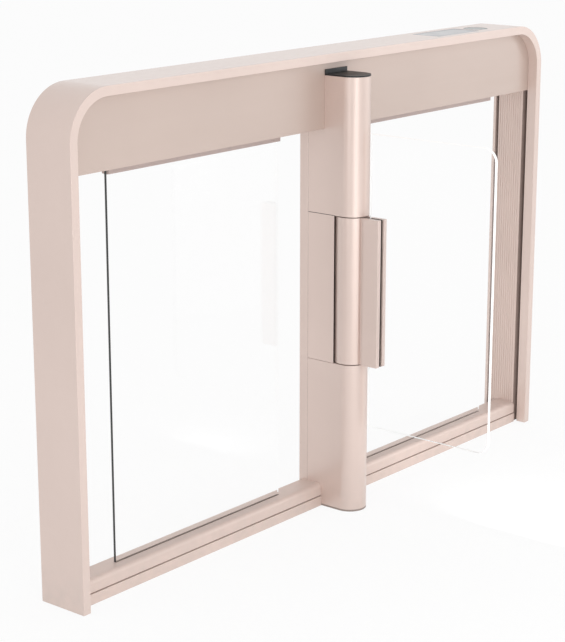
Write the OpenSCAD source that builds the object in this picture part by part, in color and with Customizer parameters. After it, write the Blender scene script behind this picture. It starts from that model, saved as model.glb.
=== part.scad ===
// Free-standing swing barrier gate: an arched cabinet with two fixed glass panes,
// a drive column in the middle and a glass leaf that swings about the column's nose.
// +X runs along the cabinet, -Y is the passage side, +Z is up, and z = 0 is the floor.

/* [Cabinet frame] */
// Length of the cabinet along the passage
body_l = 1568; // [1200:4:2000]
// Thickness of the cabinet, front face to rear face
body_w = 115; // [95:1:150]
// Height of the cabinet above the floor
body_h = 1000; // [820:5:1250]
// Outer radius of the two top corners
corner_r = 98; // [70:1:130]
// Thickness of the frame's outer skin
skin_t = 4; // [2:0.5:6]
// Width of the front lip's face
front_lip_w = 19; // [12:0.5:24]
// Depth of the front lip's return
front_lip_d = 24.5; // [18:0.5:30]
// Width of the rear lip's face
rear_lip_w = 27; // [20:0.5:34]
// Thickness of the rear lip
rear_lip_d = 7; // [4:0.5:10]

/* [Header] */
// Height of the header's underside above the floor
header_z = 840; // [680:5:1050]
// Depth of the header beam with both its panels
header_d = 66; // [54:1:80]
// Thickness of the header's front and rear panels
panel_t = 3; // [2:0.5:5]

/* [Post liners] */
// Width of the shadow slot on each side of a ribbed liner
slot_w = 7.5; // [4:0.5:10]
// Number of upright ribs on a liner
rib_count = 11; // [7:1:15]
// Height of a rib
rib_h = 1.5; // [0.5:0.1:3]

/* [Fixed glass] */
// Thickness of a fixed pane
pane_t = 6; // [5:0.5:10]
// Open space between a fixed pane and the post liner
pane_post_gap = 116; // [60:1:150]
// Distance from the cabinet's middle to a fixed pane
pane_mid_gap = 141; // [110:1:180]
// Height of the strip that holds the top of a pane
holder_h = 14; // [10:0.5:20]
// Width of the strip that holds the top of a pane
holder_w = 18; // [14:0.5:24]
// Depth of the pane's seat in its strip and in the rail
pane_seat = 9; // [5:0.5:9.5]

/* [Bottom rail] */
// Width of the rail's base
base_w = 62; // [50:1:76]
// Height of the rail's base
base_h = 22; // [14:0.5:30]
// Width of the rounded cap on the base
cap_w = 59; // [44:1:62]
// Height of the rounded cap
cap_h = 27; // [20:0.5:40]
// Radius of the cap's shoulders
cap_r = 10; // [4:0.5:14]
// Height of the dark groove between base and cap
groove_h = 2; // [1:0.5:4]

/* [Drive column] */
// Place of the column along the cabinet
column_x = 11; // [-40:1:40]
// Half of the column's width, and the radius of its nose
column_r = 36.5; // [30:0.5:46]
// Distance of the hub axis in front of the cabinet's front face
nose_out = 23.5; // [18:0.5:32]
// Height of the column's top above the header's underside
column_rise = 112.5; // [80:0.5:130]
// Thickness of the black foot plate
foot_t = 4; // [3:0.5:8]
// Distance from the header's rear face to the upright seam of the column
seam_back = 23; // [15:1:30]
// Bevel along that seam
seam_bevel = 0.8; // [0.4:0.1:1.5]
// Thickness of the side covers
side_cover_t = 3; // [2:0.5:5]
// How far a side cover reaches below the hub
side_cover_low = 0; // [0:0.5:12]
// How far a side cover reaches above the hub
side_cover_high = 0; // [0:0.5:8]
// Thickness of the black cap on the column
column_cap_t = 3.5; // [2:0.5:6]
// Height of the cap's upstand on the header
upstand_h = 9; // [5:0.5:14]
// Thickness of that upstand
upstand_t = 3; // [2:0.5:5]

/* [Hub and swing leaf] */
// Height of the hub's lower seam above the floor
hub_z = 333; // [280:1:420]
// Height of the hub opening
hub_h = 325; // [250:1:380]
// Running gap above and below the hub drum
hub_gap = 2; // [1.5:0.5:3]
// Space that moving pieces keep from the column's covers
swing_gap = 5; // [5:0.5:8]
// Radius of the fixed hub shaft
shaft_r = 12; // [8:0.5:15]
// Radial running fit of the drum on the shaft
shaft_fit = 0.05; // [0.02:0.01:0.1]
// Depth of the flat on the drum that carries the clamp
clamp_flat = 3.5; // [3:0.1:6]
// Length of the clamp from that flat
clamp_l = 48; // [40:1:70]
// Thickness of each clamp jaw
jaw_t = 11; // [9.5:0.5:13]
// Thickness of a jaw's neck, where it passes the column's covers
neck_t = 8; // [6:0.5:8.5]
// Thickness of the rubber pad between a jaw and the leaf
pad_t = 2; // [1:0.1:2.4]
// Thickness of the swing leaf
leaf_t = 8; // [6:0.5:10]
// Space between the column's nose and the leaf's inner edge
leaf_nose_gap = 13.5; // [8:0.5:20]
// Width of the leaf
leaf_w = 309; // [250:1:370]
// Height of the leaf's lower edge above the floor
leaf_z = 197; // [120:1:260]
// Height of the leaf itself
leaf_h = 638; // [520:1:760]
// Radius of the leaf's outer corners
leaf_r = 28; // [10:1:50]

/* [Top face] */
// Distance from the right end to the reader window's far edge
reader_end_gap = 239; // [200:1:400]
// Length of the reader window
reader_l = 165; // [100:1:190]
// Width of the reader window
reader_w = 74; // [50:1:84]
// Distance from the right end to the middle of the indicator lens
lens_end_gap = 202; // [150:1:204]
// Radius of the indicator lens
lens_r = 28; // [15:1:30]
// Depth of both inlays in the top skin
inlay_t = 2; // [1:0.1:2.5]

/* [Floor anchors] */
// Radius of an anchor hole
anchor_r = 6; // [4:0.5:7]
// Distance from the hub's axis back to the middle of the column's anchors
anchor_back = 51; // [46:1:56]
// Depth of an anchor hole
anchor_depth = 45; // [30:1:80]
// Spacing of the column's anchors along the cabinet
anchor_dx = 40; // [34:1:44]
// Spacing of the column's anchors across the cabinet
anchor_dy = 56; // [40:1:60]
// Spacing of the two anchors in a post
post_anchor_dy = 40; // [30:1:46]

/* [Hidden] */
$fn = 64;

// Colours
satin_pink = [0.86, 0.77, 0.73];
panel_pink = [0.83, 0.74, 0.69];
dark_trim = [0.13, 0.14, 0.15];
clear_glass = [0.85, 0.92, 0.92, 0.35];

// Clearances of pieces that fit inside each other
fit_gap = 0.3;
seam_gap = 0.6;

half_l = body_l / 2;
front_y = -body_w / 2;
rear_y = body_w / 2;
straight_h = body_h - corner_r;
straight_l = body_l - 2 * corner_r;

header_front_y = front_y + front_lip_d;
header_rear_y = header_front_y + header_d;
mid_y = header_front_y + header_d / 2;

liner_face_x = half_l - rear_lip_w;
liner_depth = rear_lip_w - skin_t;
liner_front_y = header_front_y + slot_w;
liner_rear_y = rear_y - rear_lip_d - slot_w;
liner_w = liner_rear_y - liner_front_y;
rib_pitch = liner_w / rib_count;

rail_top_z = base_h + groove_h + cap_h;
pane_l = liner_face_x - pane_post_gap - pane_mid_gap;
pane_z = rail_top_z - pane_seat;
pane_top_z = header_z - holder_h + pane_seat;

axis_y = front_y - nose_out;
seam_y = header_rear_y - seam_back;
column_top_z = header_z + column_rise;
hub_top_z = hub_z + hub_h;
swing_r = column_r + swing_gap;
// Where the swing circle meets the column's side faces
cover_front = sqrt(swing_r * swing_r - column_r * column_r);
cover_z = hub_z - side_cover_low;
cover_h = side_cover_low + hub_h + side_cover_high;

drum_h = hub_h - 2 * hub_gap;
clamp_seat = column_r - clamp_flat;
clamp_reach = clamp_seat + clamp_l;
jaw_x = leaf_t / 2 + pad_t;
leaf_in = column_r + leaf_nose_gap;
leaf_out = leaf_in + leaf_w;
leaf_seat_gap = 0.5;
anchor_y = axis_y + anchor_back;

// One side's mirror image, for the left of the cabinet
module on_left() { mirror([1, 0, 0]) children(); }

// Section of the frame: x is measured outwards to the skin, y runs front to rear
module frame_profile() {
    translate([-front_lip_w, front_y]) square([front_lip_w, front_lip_d]);
    translate([-skin_t, front_y]) square([skin_t, body_w]);
    translate([-rear_lip_w, rear_y - rear_lip_d]) square([rear_lip_w, rear_lip_d]);
}

module right_post_shape() {
    translate([half_l, 0, 0]) linear_extrude(height = straight_h) frame_profile();
}

module right_corner_shape() {
    translate([half_l - corner_r, 0, straight_h]) rotate([90, 0, 0])
        rotate_extrude(angle = 90) mirror([0, 1, 0]) translate([corner_r, 0]) frame_profile();
}

module left_post() { color(satin_pink) on_left() right_post_shape(); }
module right_post() { color(satin_pink) right_post_shape(); }
module left_corner() { color(satin_pink) on_left() right_corner_shape(); }
module right_corner() { color(satin_pink) right_corner_shape(); }

module top_rail() {
    color(satin_pink) difference() {
        translate([0, 0, body_h]) rotate([0, -90, 0])
            linear_extrude(height = straight_l, center = true) frame_profile();
        reader_space(fit_gap);
        lens_space(fit_gap);
    }
}

// Space of the reader window's inlay, larger by the gap given on each side
module reader_space(gap) {
    translate([half_l - reader_end_gap - reader_l - gap, mid_y - reader_w / 2 - gap, body_h - inlay_t])
        cube([reader_l + 2 * gap, reader_w + 2 * gap, inlay_t + (gap > 0 ? 1 : 0)]);
}

// Space of the indicator lens, larger by the gap given all round
module lens_space(gap) {
    translate([half_l - lens_end_gap, mid_y, body_h - inlay_t])
        cylinder(r = lens_r + gap, h = inlay_t + (gap > 0 ? 1 : 0));
}

module reader_window() { color([0.80, 0.80, 0.80]) reader_space(0); }
module indicator_lens() { color([0.62, 0.64, 0.64]) lens_space(0); }

// Plan of a ribbed liner: its face looks towards the middle of the cabinet
module liner_plan() {
    ribs = [for (i = [0 : rib_count - 1]) each [
        [rib_h, i * rib_pitch],
        [0, (i + 0.25) * rib_pitch],
        [0, (i + 0.75) * rib_pitch]]];
    polygon(concat(ribs, [[rib_h, liner_w], [liner_depth, liner_w], [liner_depth, 0]]));
}

module right_liner_shape() {
    difference() {
        translate([liner_face_x, liner_front_y, 0]) linear_extrude(height = header_z) liner_plan();
        for (side = [-1, 1])
            translate([liner_face_x + liner_depth / 2, mid_y + side * post_anchor_dy / 2, -1])
                cylinder(r = anchor_r, h = anchor_depth + 1);
    }
}

module left_liner() { color(panel_pink) on_left() right_liner_shape(); }
module right_liner() { color(panel_pink) right_liner_shape(); }

// Outline of the header seen from the front, fitting inside the frame's skin
module header_outline() {
    inset = skin_t + fit_gap;
    r = corner_r - inset;
    x = half_l - inset;
    top = body_h - inset;
    intersection() {
        translate([-x, header_z]) square([2 * x, top - header_z]);
        union() {
            translate([-x, 0]) square([2 * x, top - r]);
            translate([r - x, 0]) square([2 * (x - r), top]);
            for (side = [-1, 1]) translate([side * (x - r), top - r]) circle(r = r);
        }
    }
}

// A slice of the header between two depths
module header_slice(from_y, to_y) {
    translate([0, to_y, 0]) rotate([90, 0, 0])
        linear_extrude(height = to_y - from_y) header_outline();
}

module header_front_panel() { color(panel_pink) header_slice(header_front_y, header_front_y + panel_t); }
module header_beam() { color(panel_pink) header_slice(header_front_y + panel_t, header_rear_y - panel_t); }
module header_rear_panel() { color(panel_pink) header_slice(header_rear_y - panel_t, header_rear_y); }

// A fixed pane of the right side
module right_pane() {
    translate([pane_mid_gap, mid_y - pane_t / 2, pane_z]) cube([pane_l, pane_t, pane_top_z - pane_z]);
}

module right_holder_shape() {
    difference() {
        translate([pane_mid_gap, mid_y - holder_w / 2, header_z - holder_h])
            cube([pane_l, holder_w, holder_h]);
        right_pane();
    }
}

module left_glass_holder() { color(panel_pink) on_left() right_holder_shape(); }
module right_glass_holder() { color(panel_pink) right_holder_shape(); }
module left_fixed_glass() { color(clear_glass) on_left() right_pane(); }
module right_fixed_glass() { color(clear_glass) right_pane(); }

// A length of rail base between two places along the cabinet
module rail_base(from_x, to_x) {
    translate([from_x, mid_y - base_w / 2, 0]) cube([to_x - from_x, base_w, base_h]);
}

// Section of the rail's cap with its neck in the groove
module cap_profile() {
    neck_w = cap_w - 2 * groove_h;
    r = min(cap_r, cap_h - 1);
    translate([-neck_w / 2, base_h]) square([neck_w, groove_h + 1]);
    translate([-cap_w / 2, base_h + groove_h]) square([cap_w, cap_h - r]);
    translate([r - cap_w / 2, base_h + groove_h]) square([cap_w - 2 * r, cap_h]);
    for (side = [-1, 1]) translate([side * (cap_w / 2 - r), rail_top_z - r]) circle(r = r);
}

// A length of rail cap between two places along the cabinet
module rail_cap(from_x, to_x) {
    translate([from_x, mid_y, 0]) rotate([90, 0, 90])
        linear_extrude(height = to_x - from_x) cap_profile();
}

module left_rail_base() { color(satin_pink) rail_base(-liner_face_x, column_x - column_r); }
module right_rail_base() { color(satin_pink) rail_base(column_x + column_r, liner_face_x); }

module left_rail_cap() {
    color(satin_pink) difference() {
        rail_cap(-liner_face_x, column_x - column_r);
        on_left() right_pane();
    }
}

module right_rail_cap() {
    color(satin_pink) difference() {
        rail_cap(column_x + column_r, liner_face_x);
        right_pane();
    }
}

// Plan of the column from its round nose back to the depth given
module column_plan(back_y) {
    translate([column_x, axis_y]) circle(r = column_r);
    translate([column_x - column_r, axis_y]) square([2 * column_r, back_y - axis_y]);
}

// A stretch of the column between two heights
module column_part(back_y, from_z, to_z) {
    translate([0, 0, from_z]) linear_extrude(height = to_z - from_z) column_plan(back_y);
}

// The four floor anchors under the column
module column_anchors(height) {
    for (sx = [-1, 1], sy = [-1, 1])
        translate([column_x + sx * anchor_dx / 2, anchor_y + sy * anchor_dy / 2, -1])
            cylinder(r = anchor_r, h = height + 1);
}

// Shallow pockets in both sides of the column that take the side covers
module side_pockets() {
    for (side = [-1, 1])
        translate([column_x + side * (column_r - side_cover_t / 2), 0, 0])
            translate([-side_cover_t / 2 - (side < 0 ? 1 : 0),
                       axis_y + cover_front - seam_gap, cover_z - seam_gap])
                cube([side_cover_t + 1, seam_y - axis_y - cover_front + seam_gap + 1,
                      cover_h + 2 * seam_gap]);
}

module column_foot() {
    color(dark_trim) difference() {
        column_part(header_rear_y, 0, foot_t);
        column_anchors(foot_t + 1);
    }
}

module column_lower_housing() {
    color(satin_pink) difference() {
        column_part(seam_y, foot_t, hub_z);
        side_pockets();
        column_anchors(anchor_depth);
    }
}

module column_upper_housing() {
    color(satin_pink) difference() {
        union() {
            column_part(seam_y, hub_top_z, header_z);
            column_part(header_front_y, header_z, column_top_z);
        }
        side_pockets();
    }
}

// The column's core behind the hub, hollowed to let the drum and clamp swing
module column_mid_frame() {
    half_w = column_r - side_cover_t;
    color(panel_pink) difference() {
        translate([column_x - half_w, axis_y + cover_front, hub_z])
            cube([2 * half_w, seam_y - axis_y - cover_front, hub_h]);
        translate([column_x, axis_y, hub_z - 1]) cylinder(r = swing_r, h = hub_h + 2);
    }
}

// Plan of the rear cover with bevelled edges that draw the seam
module rear_cover_plan() {
    b = seam_bevel;
    x0 = column_x - column_r;
    x1 = column_x + column_r;
    polygon([[x0 + b, seam_y], [x1 - b, seam_y], [x1, seam_y + b], [x1, header_rear_y - b],
        [x1 - b, header_rear_y], [x0 + b, header_rear_y], [x0, header_rear_y - b], [x0, seam_y + b]]);
}

module column_rear_cover() {
    color(satin_pink) translate([0, 0, foot_t])
        linear_extrude(height = header_z - foot_t) rear_cover_plan();
}

// A side cover with its edge towards the hub cut to the swing circle
module side_cover(side) {
    inner = column_r - side_cover_t;
    color(satin_pink) difference() {
        translate([column_x + (side > 0 ? inner : -column_r), axis_y + cover_front - 1, cover_z])
            cube([side_cover_t, seam_y - axis_y - cover_front + 1, cover_h]);
        translate([column_x, axis_y, cover_z - 1]) cylinder(r = swing_r, h = cover_h + 2);
    }
}

module left_side_cover() { side_cover(-1); }
module right_side_cover() { side_cover(1); }

module column_cap() {
    color(dark_trim) {
        column_part(header_front_y, column_top_z, column_top_z + column_cap_t);
        translate([column_x - column_r, header_front_y - upstand_t, column_top_z])
            cube([2 * column_r, upstand_t, column_cap_t + upstand_h]);
    }
}

module hub_shaft() {
    color("silver") translate([column_x, axis_y, hub_z]) cylinder(r = shaft_r, h = hub_h);
}

module hub_drum() {
    color(satin_pink) translate([column_x, axis_y, hub_z + hub_gap]) difference() {
        cylinder(r = column_r, h = drum_h);
        translate([0, 0, -1]) cylinder(r = shaft_r + shaft_fit, h = drum_h + 2);
        translate([-column_r, -clamp_seat - column_r, -1]) cube([2 * column_r, column_r, drum_h + 2]);
    }
}

// A box of the clamp's height between two places across and two distances from the hub axis
module clamp_box(x0, x1, from_out, to_out) {
    translate([column_x + x0, axis_y - to_out, hub_z + hub_gap])
        cube([x1 - x0, to_out - from_out, drum_h]);
}

module clamp_spacer() { color(dark_trim) clamp_box(-jaw_x, jaw_x, clamp_seat, leaf_in - leaf_seat_gap); }

// Plan of a jaw: it widens from its neck once it is clear of the covers in every position
module jaw_plan(side) {
    polygon([[side * jaw_x, -clamp_seat], [side * (jaw_x + neck_t), -clamp_seat],
        [side * (jaw_x + neck_t), -swing_r], [side * (jaw_x + jaw_t), -swing_r],
        [side * (jaw_x + jaw_t), -clamp_reach], [side * jaw_x, -clamp_reach]]);
}

// One clamp jaw
module clamp_jaw(side) {
    color(panel_pink) translate([column_x, axis_y, hub_z + hub_gap])
        linear_extrude(height = drum_h) jaw_plan(side);
}

module left_jaw() { clamp_jaw(-1); }
module right_jaw() { clamp_jaw(1); }
module left_jaw_pad() { color(dark_trim) clamp_box(-jaw_x, -leaf_t / 2, leaf_in, clamp_reach - pad_t); }
module right_jaw_pad() { color(dark_trim) clamp_box(leaf_t / 2, jaw_x, leaf_in, clamp_reach - pad_t); }

// Outline of the leaf: x is the distance from the hub axis, y the height
module leaf_outline() {
    translate([leaf_in, leaf_z]) square([leaf_out - leaf_r - leaf_in, leaf_h]);
    translate([leaf_in, leaf_z + leaf_r]) square([leaf_out - leaf_in, leaf_h - 2 * leaf_r]);
    for (z = [leaf_z + leaf_r, leaf_z + leaf_h - leaf_r])
        translate([leaf_out - leaf_r, z]) circle(r = leaf_r);
}

module swing_leaf() {
    color(clear_glass) translate([column_x, axis_y, 0]) rotate([0, 0, -90]) rotate([90, 0, 0])
        linear_extrude(height = leaf_t, center = true) leaf_outline();
}

left_post();
right_post();
left_corner();
right_corner();
top_rail();
left_liner();
right_liner();
header_front_panel();
header_beam();
header_rear_panel();
left_glass_holder();
right_glass_holder();
left_fixed_glass();
right_fixed_glass();
left_rail_base();
right_rail_base();
left_rail_cap();
right_rail_cap();
column_foot();
column_lower_housing();
column_upper_housing();
column_mid_frame();
column_rear_cover();
left_side_cover();
right_side_cover();
column_cap();
hub_shaft();
hub_drum();
clamp_spacer();
left_jaw();
right_jaw();
left_jaw_pad();
right_jaw_pad();
swing_leaf();
reader_window();
indicator_lens();
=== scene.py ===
import logging
import math
from dataclasses import dataclass, field
from enum import Enum
from typing import Callable, Iterable, Sequence

import bmesh
import bpy
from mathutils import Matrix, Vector


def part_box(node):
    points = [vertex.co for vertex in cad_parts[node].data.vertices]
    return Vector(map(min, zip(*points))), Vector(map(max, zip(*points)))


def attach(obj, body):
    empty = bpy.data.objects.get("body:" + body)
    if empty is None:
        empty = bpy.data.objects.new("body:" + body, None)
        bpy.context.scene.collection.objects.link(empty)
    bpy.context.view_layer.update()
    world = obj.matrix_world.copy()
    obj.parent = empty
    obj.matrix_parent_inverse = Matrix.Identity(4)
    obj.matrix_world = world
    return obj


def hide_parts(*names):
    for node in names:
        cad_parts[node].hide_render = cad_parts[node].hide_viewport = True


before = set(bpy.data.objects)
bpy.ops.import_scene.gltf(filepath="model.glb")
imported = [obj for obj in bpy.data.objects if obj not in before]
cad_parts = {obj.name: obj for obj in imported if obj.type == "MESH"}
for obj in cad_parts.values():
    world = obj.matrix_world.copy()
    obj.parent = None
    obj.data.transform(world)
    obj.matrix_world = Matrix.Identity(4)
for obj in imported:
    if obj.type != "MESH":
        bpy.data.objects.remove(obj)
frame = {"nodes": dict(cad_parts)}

LOG = logging.getLogger("swing_gate")
MM = 0.001
SMOOTH_ANGLE = math.radians(32)

Point = tuple[float, float, float]
Rgb = tuple[float, float, float]


class Body(Enum):
    """The two CAD bodies of the gate."""

    CABINET = "cabinet"
    LEAF = "leaf"


class Side(Enum):
    """Which half of the cabinet a piece belongs to; the value is the sign of X."""

    LEFT = -1
    RIGHT = 1

    @property
    def word(self) -> str:
        """The side's name as it starts a node's name."""
        return self.name.lower()


def rgb(red: int, green: int, blue: int) -> Rgb:
    """Turns an 8-bit display colour into the linear values that a shader takes.

    Args:
        red: Red, 0 to 255.
        green: Green, 0 to 255.
        blue: Blue, 0 to 255.

    Returns:
        The same colour as three linear numbers.
    """
    def linear(value: int) -> float:
        """One channel of the display curve undone."""
        share = value / 255
        return share / 12.92 if share <= 0.04045 else ((share + 0.055) / 1.055) ** 2.4

    return (linear(red), linear(green), linear(blue))


# ---------------------------------------------------------------- finishes


class NodeSketch:
    """A material's node tree with short methods that add and join nodes."""

    def __init__(self, name: str) -> None:
        """Starts an empty material with only its output.

        Args:
            name: The material's name.
        """
        self.material = bpy.data.materials.new(name)
        self.material.use_nodes = True
        self.tree = self.material.node_tree
        self.tree.nodes.clear()
        self.output = self.tree.nodes.new("ShaderNodeOutputMaterial")
        self.place = self.tree.nodes.new("ShaderNodeTexCoord").outputs["Object"]

    def add(self, kind: str, **settings: object) -> bpy.types.Node:
        """Adds a node and sets its plain properties.

        Args:
            kind: The node's type name without its ShaderNode start.
            settings: Property names and values.

        Returns:
            The new node.
        """
        node = self.tree.nodes.new("ShaderNode" + kind)
        for name, value in settings.items():
            setattr(node, name, value)
        return node

    def join(self, source: bpy.types.NodeSocket, target: bpy.types.NodeSocket) -> None:
        """Links an output to an input."""
        self.tree.links.new(source, target)

    def noise(self, scale: float, detail: float = 2.0, stretch: Point = (1, 1, 1)) -> bpy.types.NodeSocket:
        """A noise over the piece's own place.

        Args:
            scale: How many features fit in a metre.
            detail: The number of finer layers.
            stretch: How much denser the pattern is along X, Y and Z.

        Returns:
            The noise's value socket.
        """
        mapping = self.add("Mapping")
        mapping.inputs["Scale"].default_value = stretch
        self.join(self.place, mapping.inputs["Vector"])
        noise = self.add("TexNoise")
        noise.inputs["Scale"].default_value = scale
        noise.inputs["Detail"].default_value = detail
        self.join(mapping.outputs["Vector"], noise.inputs["Vector"])
        return noise.outputs["Fac"]

    def spread(self, value: bpy.types.NodeSocket, low: float, high: float,
               start: float = 0.3, end: float = 0.7) -> bpy.types.NodeSocket:
        """Maps a value onto another range.

        Args:
            value: The socket that is read.
            low: The result where the value is at its start.
            high: The result where the value is at its end.
            start: The value that gives the low result.
            end: The value that gives the high result.

        Returns:
            The mapped socket.
        """
        span = self.add("MapRange")
        for name, number in (("From Min", start), ("From Max", end), ("To Min", low), ("To Max", high)):
            span.inputs[name].default_value = number
        self.join(value, span.inputs["Value"])
        return span.outputs["Result"]

    def blend(self, share: bpy.types.NodeSocket, first: Rgb, second: Rgb) -> bpy.types.NodeSocket:
        """Mixes two colours by a share.

        Args:
            share: 0 gives the first colour, 1 the second.
            first: A linear colour.
            second: Another linear colour.

        Returns:
            The mixed colour's socket.
        """
        mix = self.add("Mix", data_type="RGBA")
        mix.inputs["A"].default_value = (*first, 1)
        mix.inputs["B"].default_value = (*second, 1)
        self.join(share, mix.inputs["Factor"])
        return mix.outputs["Result"]

    def product(self, first: bpy.types.NodeSocket, second: bpy.types.NodeSocket) -> bpy.types.NodeSocket:
        """Multiplies two values."""
        times = self.add("Math", operation="MULTIPLY")
        self.join(first, times.inputs[0])
        self.join(second, times.inputs[1])
        return times.outputs[0]

    def bump(self, height: bpy.types.NodeSocket, depth: float, strength: float = 1.0) -> bpy.types.NodeSocket:
        """A bump of a real depth.

        Args:
            height: The pattern of heights.
            depth: The distance from its lowest to its highest, in metres.
            strength: How much of it is used.

        Returns:
            The bumped normal's socket.
        """
        bump = self.add("Bump")
        bump.inputs["Distance"].default_value = depth
        bump.inputs["Strength"].default_value = strength
        self.join(height, bump.inputs["Height"])
        return bump.outputs["Normal"]

    def shell(self, **values: object) -> bpy.types.Node:
        """A Principled shader with constant values on its own sockets, joined to the output.

        Args:
            values: Socket names with underscores for spaces, and their values.

        Returns:
            The shader node.
        """
        shader = self.add("BsdfPrincipled")
        for name, value in values.items():
            shader.inputs[name.replace("_", " ")].default_value = value
        self.join(shader.outputs["BSDF"], self.output.inputs["Surface"])
        return shader


@dataclass(frozen=True)
class SatinMetal:
    """Blasted and anodised aluminium with a thin clear seal over it.

    Attributes:
        name: The material's name.
        tone: The colour of the anodised layer.
        shade: The slightly deeper colour of its faint cloudiness.
        rough: The lowest and highest roughness.
        metallic: How much of the layer behaves as bare metal.
        coat: How strong the clear seal is.
        grain: Depth of the blasted grain, in metres.
        lines: How dense the drawn lines are along X, Y and Z, for extrusions.
    """

    name: str
    tone: Rgb
    shade: Rgb
    rough: tuple[float, float] = (0.36, 0.46)
    metallic: float = 0.25
    coat: float = 0.6
    grain: float = 0.00003
    lines: Point = (1, 1, 1)

    def build(self) -> bpy.types.Material:
        """Makes the material.

        Returns:
            A material with clouded colour, grain, drawn lines, and dust near the floor.
        """
        sketch = NodeSketch(self.name)
        shader = sketch.shell(Metallic=self.metallic, Coat_Weight=self.coat, Coat_Roughness=0.16, IOR=1.5)
        cloud = sketch.spread(sketch.noise(4.0, 3.0), 0, 1)
        tone = sketch.blend(cloud, self.tone, self.shade)
        height = sketch.add("SeparateXYZ")
        sketch.join(sketch.place, height.inputs["Vector"])
        low = sketch.spread(height.outputs["Z"], 0.35, 0, 0.0, 0.10)
        dust = sketch.product(low, sketch.spread(sketch.noise(45.0, 4.0), 0, 1))
        mix = sketch.add("Mix", data_type="RGBA")
        sketch.join(dust, mix.inputs["Factor"])
        sketch.join(tone, mix.inputs["A"])
        mix.inputs["B"].default_value = (*rgb(196, 184, 176), 1)
        sketch.join(mix.outputs["Result"], shader.inputs["Base Color"])
        sketch.join(sketch.spread(sketch.noise(70.0, 4.0, self.lines), *self.rough), shader.inputs["Roughness"])
        grain = sketch.noise(1800.0, 2.0, self.lines)
        sketch.join(sketch.bump(grain, self.grain, 0.6), shader.inputs["Normal"])
        return sketch.material


@dataclass(frozen=True)
class ClearGlass:
    """Clear toughened glass with the faint smears of a wiped pane."""

    name: str
    tint: Rgb = (1.0, 1.0, 1.0)

    def build(self) -> bpy.types.Material:
        """Makes a glass that lets lamps through, so that it casts no dark shadow.

        Returns:
            The glass material.
        """
        sketch = NodeSketch(self.name)
        shader = sketch.shell(Base_Color=(*self.tint, 1), Transmission_Weight=1.0, IOR=1.45)
        sketch.join(sketch.spread(sketch.noise(9.0, 5.0, (1, 1, 0.4)), 0.0, 0.012), shader.inputs["Roughness"])
        clear = sketch.add("BsdfTransparent")
        path = sketch.add("LightPath")
        mix = sketch.add("MixShader")
        sketch.join(path.outputs["Is Shadow Ray"], mix.inputs[0])
        sketch.join(shader.outputs["BSDF"], mix.inputs[1])
        sketch.join(clear.outputs["BSDF"], mix.inputs[2])
        sketch.join(mix.outputs["Shader"], sketch.output.inputs["Surface"])
        return sketch.material


@dataclass(frozen=True)
class PlainSolid:
    """Rubber, moulded plastic, ground glass edges, turned steel, and glass edges with a painted glow.

    Attributes:
        name: The material's name.
        tone: The main colour.
        shade: The colour of its mottling.
        rough: The lowest and highest roughness.
        metallic: 1 for metal.
        coat: How strong a clear layer lies on it.
        scale: How many mottles fit in a metre.
        depth: Depth of its texture, in metres.
        lines: How dense the texture is along X, Y and Z.
        clear_inside: Whether it can be looked through from behind, as a ground edge is through its pane.
        glow: Painted light: an emission that makes an edge glow though it is no lamp.
    """

    name: str
    tone: Rgb
    shade: Rgb
    rough: tuple[float, float] = (0.45, 0.6)
    metallic: float = 0.0
    coat: float = 0.0
    scale: float = 600.0
    depth: float = 0.00005
    lines: Point = (1, 1, 1)
    clear_inside: bool = False
    glow: float = 0.0

    def build(self) -> bpy.types.Material:
        """Makes the material.

        Returns:
            A material with mottled colour, changing gloss and a fine texture.
        """
        sketch = NodeSketch(self.name)
        # The emission below is painted glow, for edges made to shine though they are no lamp.
        shader = sketch.shell(Metallic=self.metallic, Coat_Weight=self.coat, Coat_Roughness=0.05,
                              Emission_Color=(*self.tone, 1), Emission_Strength=self.glow)
        mottle = sketch.noise(self.scale / 20, 4.0, self.lines)
        sketch.join(sketch.blend(sketch.spread(mottle, 0, 1), self.tone, self.shade), shader.inputs["Base Color"])
        sketch.join(sketch.spread(mottle, *self.rough), shader.inputs["Roughness"])
        sketch.join(sketch.bump(sketch.noise(self.scale, 2.0, self.lines), self.depth, 0.5), shader.inputs["Normal"])
        if self.clear_inside:
            mix = sketch.add("MixShader")
            sketch.join(sketch.add("NewGeometry").outputs["Backfacing"], mix.inputs[0])
            sketch.join(shader.outputs["BSDF"], mix.inputs[1])
            sketch.join(sketch.add("BsdfTransparent").outputs["BSDF"], mix.inputs[2])
            sketch.join(mix.outputs["Shader"], sketch.output.inputs["Surface"])
        return sketch.material


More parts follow.
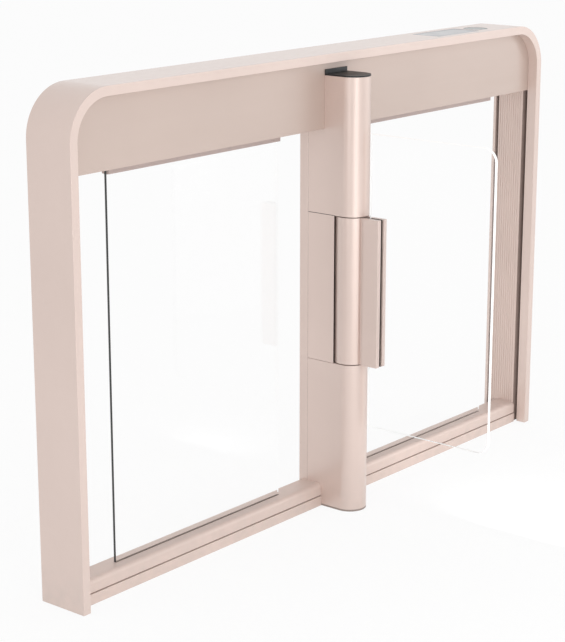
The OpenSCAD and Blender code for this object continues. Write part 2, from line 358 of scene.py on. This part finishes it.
@dataclass
class Finishes:
    """Every finish of the gate, made once."""

    frame: bpy.types.Material = field(init=False)
    header: bpy.types.Material = field(init=False)
    liner: bpy.types.Material = field(init=False)
    rail: bpy.types.Material = field(init=False)
    column: bpy.types.Material = field(init=False)
    hub: bpy.types.Material = field(init=False)
    trim: bpy.types.Material = field(init=False)
    rubber: bpy.types.Material = field(init=False)
    core: bpy.types.Material = field(init=False)
    foot: bpy.types.Material = field(init=False)
    pad: bpy.types.Material = field(init=False)
    holder: bpy.types.Material = field(init=False)
    seam: bpy.types.Material = field(init=False)
    pane: bpy.types.Material = field(init=False)
    pane_edge: bpy.types.Material = field(init=False)
    leaf: bpy.types.Material = field(init=False)
    leaf_edge_painted_glow: bpy.types.Material = field(init=False)
    steel: bpy.types.Material = field(init=False)
    reader: bpy.types.Material = field(init=False)
    lens: bpy.types.Material = field(init=False)

    def __post_init__(self) -> None:
        """Builds the materials."""
        pink, deep = rgb(222, 202, 193), rgb(217, 197, 188)
        self.frame = SatinMetal("satin_frame", pink, deep).build()
        # Painted shade: the header is a darker copy of the frame's colour, standing in for the shade it gets recessed
        # between the lips.
        self.header = SatinMetal("satin_header", rgb(200, 181, 171), rgb(196, 177, 167), lines=(0.05, 1, 1)).build()
        self.holder = SatinMetal("satin_holder", rgb(180, 161, 155), rgb(175, 156, 150), lines=(0.05, 1, 1)).build()
        self.liner = SatinMetal("satin_liner", rgb(216, 196, 187), rgb(211, 191, 182), lines=(1, 1, 0.04)).build()
        self.rail = SatinMetal("satin_rail", pink, deep, (0.5, 0.6), coat=0.2, lines=(0.05, 1, 1)).build()
        self.column = SatinMetal("satin_column", pink, deep, (0.33, 0.39), 0.34, 0.3, lines=(1, 1, 0.05)).build()
        self.hub = SatinMetal("satin_hub", pink, deep, (0.33, 0.39), 0.34, 0.3, lines=(1, 1, 0.05)).build()
        self.trim = PlainSolid("black_trim", rgb(22, 26, 28), rgb(30, 34, 36), (0.34, 0.46)).build()
        self.rubber = PlainSolid("seal_rubber", rgb(128, 113, 106), rgb(116, 102, 96), (0.6, 0.8)).build()
        self.core = PlainSolid("core_coat", rgb(126, 108, 100), rgb(116, 99, 92), (0.6, 0.8)).build()
        self.foot = PlainSolid("foot_plate", rgb(156, 142, 134), rgb(146, 132, 125), (0.5, 0.65)).build()
        # The jaw pads are real rubber; their pale taupe is painted shade, the tone of the jaw's unlit inner face seen
        # through the slot.
        self.pad = PlainSolid("jaw_pad_rubber", rgb(168, 152, 144), rgb(158, 142, 134), (0.6, 0.75)).build()
        # Real for the column's seam gaskets; on the posts' slot floors and the liners' sides this colour is painted
        # shade, standing in for the shade in the slots.
        self.seam = PlainSolid("gasket_and_slot_shade", rgb(150, 132, 124), rgb(140, 122, 115), (0.6, 0.75)).build()
        self.pane = ClearGlass("pane_glass").build()
        self.pane_edge = PlainSolid("pane_edge", rgb(52, 54, 54), rgb(62, 64, 64), (0.3, 0.4), clear_inside=True).build()
        self.leaf = ClearGlass("leaf_glass").build()
        # Painted light: the leaf's near-white edges glow with an emission, standing in for the bright rim that light
        # gives a glass edge.
        self.leaf_edge_painted_glow = PlainSolid("leaf_edge_painted_glow", rgb(252, 252, 250), rgb(246, 247, 246), (0.2, 0.35), glow=0.25).build()
        self.steel = PlainSolid("turned_steel", rgb(190, 190, 190), rgb(172, 172, 174), (0.25, 0.4), 1.0,
                                lines=(0.2, 0.2, 4)).build()
        self.reader = PlainSolid("reader_glass", rgb(168, 168, 170), rgb(160, 160, 163), (0.16, 0.24), depth=0.000005).build()
        self.lens = PlainSolid("lens_plastic", rgb(148, 151, 150), rgb(138, 141, 140), (0.2, 0.3), depth=0.00001).build()


# ---------------------------------------------------------------- modelling


def alone(piece: bpy.types.Object) -> None:
    """Selects one piece only and makes it active."""
    bpy.ops.object.select_all(action="DESELECT")
    piece.select_set(True)
    bpy.context.view_layer.objects.active = piece


def take_name(piece: bpy.types.Object, name: str) -> bpy.types.Object:
    """Names a piece and its mesh."""
    piece.name = name
    piece.data.name = name
    return piece


def block(name: str, low: Sequence[float], high: Sequence[float]) -> bpy.types.Object:
    """Adds a box between two corners, to be shaped further.

    Args:
        name: The piece's name.
        low: Its lowest corner, in metres.
        high: Its highest corner, in metres.

    Returns:
        The box, with its place in its mesh.
    """
    low, high = Vector(low), Vector(high)
    bpy.ops.object.select_all(action="DESELECT")
    bpy.ops.mesh.primitive_cube_add(size=1, location=(low + high) / 2, scale=high - low)
    piece = take_name(bpy.context.object, name)
    bpy.ops.object.transform_apply(location=True, rotation=True, scale=True)
    return piece


def pick_edges(piece: bpy.types.Object, test: Callable[[Vector, Vector], bool]) -> int:
    """In edit mode, selects only the edges whose two ends pass a test.

    Args:
        piece: The piece in edit mode.
        test: Takes the two ends' places and says if the edge is wanted.

    Returns:
        How many edges were selected.
    """
    bpy.ops.mesh.select_mode(type="EDGE")
    bpy.ops.mesh.select_all(action="DESELECT")
    mesh = bmesh.from_edit_mesh(piece.data)
    for edge in mesh.edges:
        edge.select_set(test(edge.verts[0].co, edge.verts[1].co))
    mesh.select_flush_mode()
    bmesh.update_edit_mesh(piece.data)
    return sum(edge.select for edge in mesh.edges)


def pick_faces(piece: bpy.types.Object, test: Callable[[Vector, Vector], bool]) -> int:
    """In edit mode, selects only the faces that pass a test.

    Args:
        piece: The piece in edit mode.
        test: Takes a face's middle and its normal and says if it is wanted.

    Returns:
        How many faces were selected.
    """
    bpy.ops.mesh.select_mode(type="FACE")
    bpy.ops.mesh.select_all(action="DESELECT")
    mesh = bmesh.from_edit_mesh(piece.data)
    for face in mesh.faces:
        face.select_set(test(face.calc_center_median(), face.normal))
    mesh.select_flush_mode()
    bmesh.update_edit_mesh(piece.data)
    return sum(face.select for face in mesh.faces)


def round_edges(piece: bpy.types.Object, radius: float, segments: int,
                test: Callable[[Vector, Vector], bool]) -> None:
    """Rounds chosen edges of a piece with the bevel tool.

    Args:
        piece: The piece.
        radius: The round's radius, in metres.
        segments: How many flats make the round.
        test: Takes an edge's two ends and says if it is rounded.
    """
    alone(piece)
    bpy.ops.object.mode_set(mode="EDIT")
    if pick_edges(piece, test):
        bpy.ops.mesh.bevel(offset=radius, offset_type="OFFSET", segments=segments, affect="EDGES")
    bpy.ops.object.mode_set(mode="OBJECT")


def soften(piece: bpy.types.Object, width: float, segments: int = 2) -> None:
    """Breaks a piece's sharp edges and smooths its round faces.

    Args:
        piece: The piece.
        width: The width of the broken edge, in metres.
        segments: How many flats make it round.
    """
    alone(piece)
    if width > 0:
        bevel = piece.modifiers.new("broken_edges", "BEVEL")
        bevel.width = width
        bevel.segments = segments
        bevel.limit_method = "ANGLE"
        bevel.angle_limit = SMOOTH_ANGLE
        bpy.ops.object.modifier_apply(modifier=bevel.name)
    bpy.ops.object.shade_smooth_by_angle(angle=SMOOTH_ANGLE)
    flats = piece.modifiers.new("flat_faces", "WEIGHTED_NORMAL")
    flats.mode = "FACE_AREA"
    flats.weight = 100
    flats.keep_sharp = True
    bpy.ops.object.modifier_apply(modifier=flats.name)


def cut(piece: bpy.types.Object, cutter: bpy.types.Object) -> None:
    """Cuts one piece's volume out of another, then removes the cutter."""
    alone(piece)
    boolean = piece.modifiers.new("cut", "BOOLEAN")
    boolean.operation = "DIFFERENCE"
    boolean.solver = "EXACT"
    boolean.object = cutter
    bpy.ops.object.modifier_apply(modifier=boolean.name)
    bpy.data.objects.remove(cutter, do_unlink=True)


def merge(name: str, parts: Iterable[bpy.types.Object]) -> bpy.types.Object:
    """Joins several meshes into one piece.

    Args:
        name: The joined piece's name.
        parts: The meshes.

    Returns:
        The joined piece.
    """
    parts = list(parts)
    alone(parts[0])
    for part in parts:
        part.select_set(True)
    bpy.ops.object.join()
    return take_name(bpy.context.object, name)


def copy_moved(piece: bpy.types.Object, name: str, shift: Sequence[float]) -> bpy.types.Object:
    """Copies a piece with its own mesh and puts the copy elsewhere.

    Args:
        piece: The piece that is copied.
        name: The copy's name.
        shift: How far the copy moves, in metres.

    Returns:
        The copy, with its place in its mesh.
    """
    alone(piece)
    bpy.ops.object.duplicate(linked=False)
    copy = take_name(bpy.context.object, name)
    copy.location = shift
    bpy.ops.object.transform_apply(location=True, rotation=False, scale=False)
    return copy


def finished_node(node: str, width: float) -> bpy.types.Object:
    """Copies a CAD node's shape, joins its triangles and breaks its edges.

    Args:
        node: The CAD node's name.
        width: The width of the broken edges, in metres.

    Returns:
        The finished piece, which is yet to be placed on a body.
    """
    alone(frame["nodes"][node])
    source = frame["nodes"][node]
    mesh = source.data.copy()
    piece = bpy.data.objects.new(node + "_finished", mesh)
    bpy.context.scene.collection.objects.link(piece)
    mesh.transform(source.matrix_world)
    mesh.materials.clear()
    take_name(piece, node + "_finished")
    alone(piece)
    bpy.ops.object.mode_set(mode="EDIT")
    bpy.ops.mesh.select_mode(type="VERT")
    bpy.ops.mesh.select_all(action="SELECT")
    bpy.ops.mesh.remove_doubles(threshold=0.000005)
    bpy.ops.mesh.dissolve_limited(angle_limit=math.radians(0.5))
    bpy.ops.mesh.normals_make_consistent(inside=False)
    bpy.ops.object.mode_set(mode="OBJECT")
    soften(piece, width)
    return piece


def hand_over(piece: bpy.types.Object, body: Body, slot: str, *nodes: str) -> None:
    """Puts a finished piece on its body, and lets it stand for CAD nodes.

    Args:
        piece: The finished piece.
        body: The body it moves with.
        slot: The record's material slot; not used.
        nodes: The CAD nodes that it stands for.
    """
    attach(piece, body.value)
    if nodes:
        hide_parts(*nodes)
    LOG.info("%s: %d faces on %s", piece.name, len(piece.data.polygons), body.value)


def dress(piece: bpy.types.Object, *finishes: bpy.types.Material) -> None:
    """Gives a piece its materials in order, replacing what it had."""
    piece.data.materials.clear()
    for finish in finishes:
        piece.data.materials.append(finish)


# ---------------------------------------------------------------- the gate


@dataclass
class Arch:
    """The frame's arch: two posts, two round corners and the top rail in one skin."""

    finishes: Finishes
    edge: float = 0.9 * MM
    corner_steps: int = 28
    front_lip_w: float = 19 * MM
    front_lip_d: float = 24.5 * MM
    rear_lip_d: float = 7 * MM
    skin: float = 4 * MM
    spare: float = 20 * MM

    def rounded(self, name: str, inset: float, front: float, rear: float, foot: float) -> bpy.types.Object:
        """A block with the arch's round top corners.

        Args:
            name: The block's name.
            inset: How far it lies inside the arch's outline.
            front: Its front depth.
            rear: Its rear depth.
            foot: Its lowest height.

        Returns:
            The block.
        """
        low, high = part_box("left_post")[0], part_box("right_corner")[1]
        radius = high[2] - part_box("left_post")[1][2] - inset
        top = high[2] - inset
        piece = block(name, (low[0] + inset, front, foot), (high[0] - inset, rear, top))
        close = 1e-5
        round_edges(piece, radius, self.corner_steps, lambda a, b: abs(a.z - top) < close
                    and abs(b.z - top) < close and abs(a.x - b.x) < close)
        return piece

    def build(self) -> None:
        """Cuts the arch out of a rounded block and breaks its edges."""
        low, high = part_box("left_post")
        front, rear, floor = low[1], high[1], low[2]
        rear_lip_w = high[0] - low[0]
        arch = self.rounded("arch", 0.0, front, rear, floor)
        below = floor - self.spare
        openings = ((self.front_lip_w, front - self.spare, front + self.front_lip_d),
                    (self.skin, front + self.front_lip_d - 1e-6, rear - self.rear_lip_d + 1e-6),
                    (rear_lip_w, rear - self.rear_lip_d, rear + self.spare))
        for inset, start, end in openings:
            cut(arch, self.rounded("opening", inset, start, end, below))
        self.cut_inlays(arch)
        soften(arch, self.edge)
        dress(arch, self.finishes.frame, self.finishes.seam)
        # Painted shade: the web's inner face, the floor of the slots beside the liner, takes the darker second finish
        # in place of the shade there.
        floor_x = abs(low[0]) - self.skin
        for polygon in arch.data.polygons:
            at = polygon.center
            polygon.material_index = 1 if abs(abs(at.x) - floor_x) < 1e-4 and abs(polygon.normal.x) > 0.99 else 0
        hand_over(arch, Body.CABINET, "frame_finish",
                  "left_post", "right_post", "left_corner", "right_corner", "top_rail")

    def cut_inlays(self, arch: bpy.types.Object) -> None:
        """Sinks the seats of the reader window and the indicator lens into the top."""
        gap, depth = 0.3 * MM, 10 * MM
        low, high = (Vector(corner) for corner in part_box("reader_window"))
        room = Vector((gap, gap, 0))
        cut(arch, block("window_seat", low - room, high + room + Vector((0, 0, depth))))
        low, high = (Vector(corner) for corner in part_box("indicator_lens"))
        middle = (low + high) / 2
        bpy.ops.object.select_all(action="DESELECT")
        bpy.ops.mesh.primitive_cylinder_add(vertices=96, radius=(high.x - low.x) / 2 + gap, depth=depth,
                                            location=(middle.x, middle.y, low.z + depth / 2))
        seat = take_name(bpy.context.object, "lens_seat")
        bpy.ops.object.transform_apply(location=True, rotation=True, scale=True)
        cut(arch, seat)


@dataclass
class Liner:
    """The ribbed upright inside a post."""

    finishes: Finishes
    side: Side
    ribs: int = 11
    rib_h: float = 1.5 * MM
    rib_share: float = 0.62
    edge: float = 0.35 * MM

    def build(self) -> None:
        """Splits the liner's face into stripes and raises every other one."""
        node = f"{self.side.word}_liner"
        low, high = (Vector(corner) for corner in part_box(node))
        facing = -self.side.value
        face_x = high.x if facing > 0 else low.x
        valley = face_x - facing * self.rib_h
        if facing > 0:
            high.x = valley
        else:
            low.x = valley
        piece = block(node + "_ribbed", low, high)
        pitch = (high.y - low.y) / self.ribs
        margin = pitch * (1 - self.rib_share) / 2
        alone(piece)
        bpy.ops.object.mode_set(mode="EDIT")
        for rib in range(self.ribs):
            for at in (low.y + rib * pitch + margin, low.y + (rib + 1) * pitch - margin):
                bpy.ops.mesh.select_all(action="SELECT")
                bpy.ops.mesh.bisect(plane_co=(0, at, 0), plane_no=(0, 1, 0))
        pick_faces(piece, lambda middle, normal: normal.x * facing > 0.9
                   and abs((middle.y - low.y) / pitch % 1 - 0.5) < 0.2)
        bpy.ops.mesh.extrude_region_move(TRANSFORM_OT_translate={"value": (facing * self.rib_h, 0, 0)})
        bpy.ops.object.mode_set(mode="OBJECT")
        soften(piece, self.edge, 3)
        dress(piece, self.finishes.liner, self.finishes.seam)
        # Painted shade: the liner's sides, which face into the slots, take the darker second finish in place of the
        # shade there.
        inside = (low.y + self.edge, high.y - self.edge)
        for polygon in piece.data.polygons:
            polygon.material_index = 0 if inside[0] < polygon.center.y < inside[1] else 1
        hand_over(piece, Body.CABINET, "liner_finish", node)


@dataclass
class GlassSheet:
    """A flat sheet of toughened glass with ground edges."""

    name: str
    node: str
    body: Body
    slot: str
    face: bpy.types.Material
    rim: bpy.types.Material
    across: Vector
    corner: float = 0.0
    arris: float = 0.6 * MM
    outer_y: float = 0.0

    def build(self) -> None:
        """Models the sheet, rounds its free corners and dresses its edges apart from its faces."""
        low, high = (Vector(corner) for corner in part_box(self.node))
        piece = block(self.name, low, high)
        if self.corner:
            close = 1e-5
            round_edges(piece, self.corner, 16, lambda a, b: abs(a.y - self.outer_y) < close
                        and abs(b.y - self.outer_y) < close and abs(a.z - b.z) < close)
        soften(piece, self.arris)
        dress(piece, self.face, self.rim)
        for polygon in piece.data.polygons:
            polygon.material_index = 0 if abs(polygon.normal.dot(self.across)) > 0.9 else 1
        hand_over(piece, self.body, self.slot, self.node)


@dataclass
class PaneSeals:
    """The rubber beads where a fixed pane enters its strip and the rail."""

    finishes: Finishes
    side: Side
    bead_w: float = 0.8 * MM
    bead_h: float = 0.7 * MM

    def build(self) -> None:
        """Models one pair of beads and copies it to the other end of the pane."""
        word = self.side.word
        low, high = (Vector(corner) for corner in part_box(f"{word}_fixed_glass"))
        rail_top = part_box(f"{word}_rail_cap")[1][2]
        strip_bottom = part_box(f"{word}_glass_holder")[0][2]
        beads = []
        for number, start in enumerate((low.y - self.bead_w, high.y)):
            bead = block(f"bead_{number}", (low.x, start, rail_top),
                         (high.x, start + self.bead_w, rail_top + self.bead_h))
            outer = low.y - self.bead_w if number == 0 else high.y + self.bead_w
            round_edges(bead, self.bead_w * 0.7, 4, lambda a, b: abs(a.y - outer) < 1e-5
                        and abs(b.y - outer) < 1e-5 and a.z > rail_top + 1e-5 and b.z > rail_top + 1e-5)
            beads.append(bead)
        lower = merge(f"{word}_lower_seal", beads)
        soften(lower, 0)
        dress(lower, self.finishes.rubber)
        upper = copy_moved(lower, f"{word}_upper_seal", (0, 0, strip_bottom - self.bead_h - rail_top))
        for piece in (lower, upper):
            hand_over(piece, Body.CABINET, "seal_rubber")


@dataclass
class FinishedNodes:
    """CAD pieces whose shape is right: their edges are broken and their round faces smoothed."""

    finishes: Finishes
    edge: float = 0.8 * MM
    fine_edge: float = 0.4 * MM
    groove_h: float = 2.2 * MM
    cover_edge: float = 0.7 * MM

    def build(self) -> None:
        """Finishes each of them and puts it on its body."""
        f = self.finishes
        rows: list[tuple[str, float, Body, str, bpy.types.Material]] = [
            ("header_front_panel", 0.0, Body.CABINET, "header_finish", f.header),
            ("header_rear_panel", 0.0, Body.CABINET, "header_finish", f.header),
            ("column_foot", self.fine_edge, Body.CABINET, "black_trim", f.foot),
            ("column_lower_housing", self.fine_edge, Body.CABINET, "column_finish", f.column),
            ("column_upper_housing", self.fine_edge, Body.CABINET, "column_finish", f.column),
            ("column_mid_frame", 0.0, Body.CABINET, "column_finish", f.core),
            ("column_rear_cover", 0.0, Body.CABINET, "column_finish", f.column),
            ("left_side_cover", self.cover_edge, Body.CABINET, "column_finish", f.column),
            ("right_side_cover", self.cover_edge, Body.CABINET, "column_finish", f.column),
            ("column_cap", self.fine_edge, Body.CABINET, "black_trim", f.trim),
            ("hub_shaft", 0.0, Body.CABINET, "shaft_steel", f.steel),
            ("hub_drum", 0.3 * MM, Body.LEAF, "hub_finish", f.hub),
            ("clamp_spacer", self.fine_edge, Body.LEAF, "seal_rubber", f.rubber),
            ("left_jaw", self.edge, Body.LEAF, "hub_finish", f.hub),
            ("right_jaw", self.edge, Body.LEAF, "hub_finish", f.hub),
        ]
        for side in Side:
            rows += [(f"{side.word}_rail_base", 0.5 * MM, Body.CABINET, "rail_finish", f.rail),
                     (f"{side.word}_rail_cap", self.fine_edge, Body.CABINET, "rail_finish", f.rail),
                     (f"{side.word}_glass_holder", self.fine_edge, Body.CABINET, "header_finish", f.holder)]
        for node, width, body, slot, finish in rows:
            piece = finished_node(node, width)
            dress(piece, finish, f.core)
            if node.endswith("rail_cap"):
                self.shade_groove(piece)
            if node.endswith("side_cover"):
                self.shade_top(piece)
            hand_over(piece, body, slot, node)

    def shade_top(self, cover: bpy.types.Object) -> None:
        """Gives a side cover's top edge, which shows in the seam above it, the dark finish."""
        dress(cover, self.finishes.column, self.finishes.trim)
        for polygon in cover.data.polygons:
            polygon.material_index = 1 if polygon.normal.z > 0.3 else 0

    def shade_groove(self, cap: bpy.types.Object) -> None:
        """Gives the bottom of a rail's long groove the dark finish."""
        foot = min(corner.co.z for corner in cap.data.vertices)
        for polygon in cap.data.polygons:
            low = polygon.center.z < foot + self.groove_h
            polygon.material_index = 1 if low and abs(polygon.normal.z) < 0.7 else 0

    def dress_kept(self) -> None:
        """Gives the CAD nodes that stay as they are their finishes."""
        kept = {"header_beam": self.finishes.header, "left_jaw_pad": self.finishes.pad,
                "right_jaw_pad": self.finishes.pad}
        for node, finish in kept.items():
            dress(frame["nodes"][node], finish)
            LOG.info("%s keeps its CAD shape", node)


@dataclass
class ColumnSeam:
    """The fine gasket in the upright seam between the column's housing and its rear cover."""

    finishes: Finishes
    width: float = 0.9 * MM
    sunk: float = 0.25 * MM

    def build(self) -> None:
        """Models the left gasket, breaks its outer edges and copies it to the right."""
        low, high = (Vector(corner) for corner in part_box("column_rear_cover"))
        outer = low.x + self.sunk
        left = block("left_seam_gasket", (outer, low.y, low.z + self.width),
                     (outer + 2 * self.width, low.y + self.width, high.z - self.width))
        round_edges(left, 0.3 * self.width, 3, lambda a, b: abs(a.x - outer) < 1e-6
                    and abs(b.x - outer) < 1e-6 and abs(a.y - b.y) < 1e-6)
        dress(left, self.finishes.seam)
        span = (high.x - self.sunk - 2 * self.width) - outer
        right = copy_moved(left, "right_seam_gasket", (span, 0, 0))
        for piece in (left, right):
            soften(piece, 0)
            hand_over(piece, Body.CABINET, "seal_rubber")


@dataclass
class TopFittings:
    """The reader window and the indicator lens in the top face."""

    finishes: Finishes
    crown: float = 0.0
    step: float = 0.35 * MM

    def build(self) -> None:
        """Models both fittings."""
        self.window()
        self.lens()

    def window(self) -> None:
        """A pane with a lowered field inside a fine raised rim."""
        low, high = (Vector(corner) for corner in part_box("reader_window"))
        piece = block("reader_pane", low, high)
        round_edges(piece, 5 * MM, 8, lambda a, b: abs(a.x - b.x) < 1e-6 and abs(a.y - b.y) < 1e-6)
        alone(piece)
        bpy.ops.object.mode_set(mode="EDIT")
        pick_faces(piece, lambda middle, normal: normal.z > 0.9)
        bpy.ops.mesh.inset(thickness=2.2 * MM)
        bpy.ops.mesh.extrude_region_move(TRANSFORM_OT_translate={"value": (0, 0, -self.step)})
        bpy.ops.mesh.inset(thickness=0.4 * MM)
        bpy.ops.object.mode_set(mode="OBJECT")
        soften(piece, 0.15 * MM)
        dress(piece, self.finishes.reader)
        hand_over(piece, Body.CABINET, "reader_glass", "reader_window")

    def lens(self) -> None:
        """A round lens with a groove near its rim and a gently dished middle."""
        low, high = (Vector(corner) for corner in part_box("indicator_lens"))
        middle = (low + high) / 2
        bpy.ops.object.select_all(action="DESELECT")
        bpy.ops.mesh.primitive_cylinder_add(vertices=72, radius=(high.x - low.x) / 2, depth=high.z - low.z,
                                            location=middle)
        piece = take_name(bpy.context.object, "indicator_dish")
        bpy.ops.object.transform_apply(location=True, rotation=True, scale=True)
        bpy.ops.object.mode_set(mode="EDIT")
        pick_faces(piece, lambda centre, normal: normal.z > 0.9)
        for inset, drop in ((2.0 * MM, 0.0), (0.6 * MM, -0.5 * MM), (1.0 * MM, 0.0), (0.6 * MM, 0.4 * MM),
                            (8.0 * MM, -0.15 * MM), (9.0 * MM, -0.1 * MM)):
            bpy.ops.mesh.inset(thickness=inset)
            bpy.ops.transform.translate(value=(0, 0, drop))
        bpy.ops.object.mode_set(mode="OBJECT")
        soften(piece, 0)
        dress(piece, self.finishes.lens)
        hand_over(piece, Body.CABINET, "lens_plastic", "indicator_lens")


@dataclass
class Studio:
    """The floor, the light and the camera."""

    camera_place: Point = (-3.0317, -2.4126, 1.4369)
    camera_pitch: float = 75.18
    camera_yaw: float = -50.32
    focal_mm: float = 103.03
    floor_half: float = 40.0
    ambient: float = 0.80
    key_power: float = 13.0
    rim_power: float = 22.0
    low_power: float = 7.0
    passage_power: float = 2.4
    inner_power: float = 1.5
    floor_white: float = 0.88
    small_lamp: float = 0.5

    def build(self) -> None:
        """Sets up everything around the gate."""
        self.camera()
        self.world()
        self.floor()
        self.lamp("key_light", (-1.55, -2.6, 0.95), (0, 0, 0.5), (1.5, 1.8), self.key_power)
        self.lamp("fill_light", (3.5, -3.0, 1.6), (0, 0, 0.5), (2.4, 2.4), self.rim_power)
        self.lamp("low_light", (-3.6, -0.6, 0.7), (0, 0, 0.3), (1.6, 1.3), self.low_power)
        self.lamp("passage_light", (-0.62, -1.35, 0.35), (0.2, 0, 0.35), (1.2, 0.6), self.passage_power)
        self.lamp("inner_light", (0.1, -0.45, 0.12), (0.9, -0.45, 0.12), (0.2, 0.2), self.inner_power)
        scene = bpy.context.scene
        scene.view_settings.view_transform = "Standard"

    def camera(self) -> None:
        """Places the camera."""
        data = bpy.data.cameras.new("camera")
        data.lens = self.focal_mm
        data.sensor_width = 36
        data.clip_end = 200
        camera = bpy.data.objects.new("camera", data)
        camera.location = self.camera_place
        camera.rotation_euler = (math.radians(self.camera_pitch), 0, math.radians(self.camera_yaw))
        bpy.context.scene.collection.objects.link(camera)
        bpy.context.scene.camera = camera

    def lamp(self, name: str, place: Point, target: Point, size: tuple[float, float], power: float) -> None:
        """Adds a soft lamp that points at a target and isn't seen itself.

        Args:
            name: The lamp's name.
            place: Where it stands, in metres.
            target: The point it faces.
            size: Its width and height, in metres.
            power: Its power in watts.
        """
        data = bpy.data.lights.new(name, "AREA")
        data.shape = "RECTANGLE"
        data.size, data.size_y = size
        data.energy = power
        lamp = bpy.data.objects.new(name, data)
        lamp.location = place
        lamp.rotation_euler = (Vector(target) - Vector(place)).to_track_quat("-Z", "Y").to_euler()
        lamp.visible_camera = False
        lamp.visible_transmission = False
        lamp.visible_glossy = size[0] > self.small_lamp
        bpy.context.scene.collection.objects.link(lamp)

    def world(self) -> None:
        """A white surround to the camera and in gloss and glass, and a plain level of light elsewhere."""
        world = bpy.data.worlds.new("surround")
        bpy.context.scene.world = world
        world.use_nodes = True
        tree = world.node_tree
        tree.nodes.clear()
        path = tree.nodes.new("ShaderNodeLightPath")
        first = tree.nodes.new("ShaderNodeMath")
        second = tree.nodes.new("ShaderNodeMath")
        first.operation = second.operation = "MAXIMUM"
        tree.links.new(path.outputs["Is Camera Ray"], first.inputs[0])
        tree.links.new(path.outputs["Is Glossy Ray"], first.inputs[1])
        tree.links.new(first.outputs[0], second.inputs[0])
        tree.links.new(path.outputs["Is Transmission Ray"], second.inputs[1])
        level = tree.nodes.new("ShaderNodeMapRange")
        level.inputs["To Min"].default_value = self.ambient
        level.inputs["To Max"].default_value = 1.0
        tree.links.new(second.outputs[0], level.inputs["Value"])
        background = tree.nodes.new("ShaderNodeBackground")
        background.inputs["Color"].default_value = (1, 1, 1, 1)
        tree.links.new(level.outputs["Result"], background.inputs["Strength"])
        output = tree.nodes.new("ShaderNodeOutputWorld")
        tree.links.new(background.outputs["Background"], output.inputs["Surface"])

    def floor(self) -> None:
        """A plain pale floor that keeps the gate's shadow."""
        bpy.ops.object.select_all(action="DESELECT")
        bpy.ops.mesh.primitive_plane_add(size=2 * self.floor_half, location=(0, 0, 0))
        floor = take_name(bpy.context.object, "floor")
        sketch = NodeSketch("floor_white")
        shader = sketch.shell(Roughness=0.9)
        tone = sketch.blend(sketch.spread(sketch.noise(0.8), 0, 1), (0.93, 0.93, 0.93), (0.945, 0.945, 0.945))
        sketch.join(tone, shader.inputs["Base Color"])
        path = sketch.add("LightPath")
        seen = sketch.add("Math", operation="MAXIMUM")
        any_seen = sketch.add("Math", operation="MAXIMUM")
        sketch.join(path.outputs["Is Camera Ray"], seen.inputs[0])
        sketch.join(path.outputs["Is Glossy Ray"], seen.inputs[1])
        sketch.join(seen.outputs[0], any_seen.inputs[0])
        sketch.join(path.outputs["Is Transmission Ray"], any_seen.inputs[1])
        white = sketch.add("Emission")
        white.inputs["Strength"].default_value = 1.0
        mix = sketch.add("MixShader")
        sketch.join(sketch.spread(any_seen.outputs[0], 0, self.floor_white, 0, 1), mix.inputs[0])
        sketch.join(shader.outputs["BSDF"], mix.inputs[1])
        sketch.join(white.outputs["Emission"], mix.inputs[2])
        sketch.join(mix.outputs["Shader"], sketch.output.inputs["Surface"])
        dress(floor, sketch.material)


def main() -> None:
    """Builds the gate's looks and the studio."""
    logging.basicConfig(level=logging.INFO, format="%(message)s")
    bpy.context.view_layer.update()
    finishes = Finishes()
    Studio().build()
    Arch(finishes).build()
    for side in Side:
        Liner(finishes, side).build()
        GlassSheet(f"{side.word}_pane", f"{side.word}_fixed_glass", Body.CABINET, "fixed_glass",
                   finishes.pane, finishes.pane_edge, Vector((0, 1, 0))).build()
        PaneSeals(finishes, side).build()
    GlassSheet("leaf_sheet", "swing_leaf", Body.LEAF, "leaf_glass", finishes.leaf, finishes.leaf_edge_painted_glow,
               Vector((1, 0, 0)), corner=28 * MM, outer_y=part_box("swing_leaf")[0][1]).build()
    nodes = FinishedNodes(finishes)
    nodes.build()
    nodes.dress_kept()
    ColumnSeam(finishes).build()
    TopFittings(finishes).build()


if __name__ == "__main__":
    main()
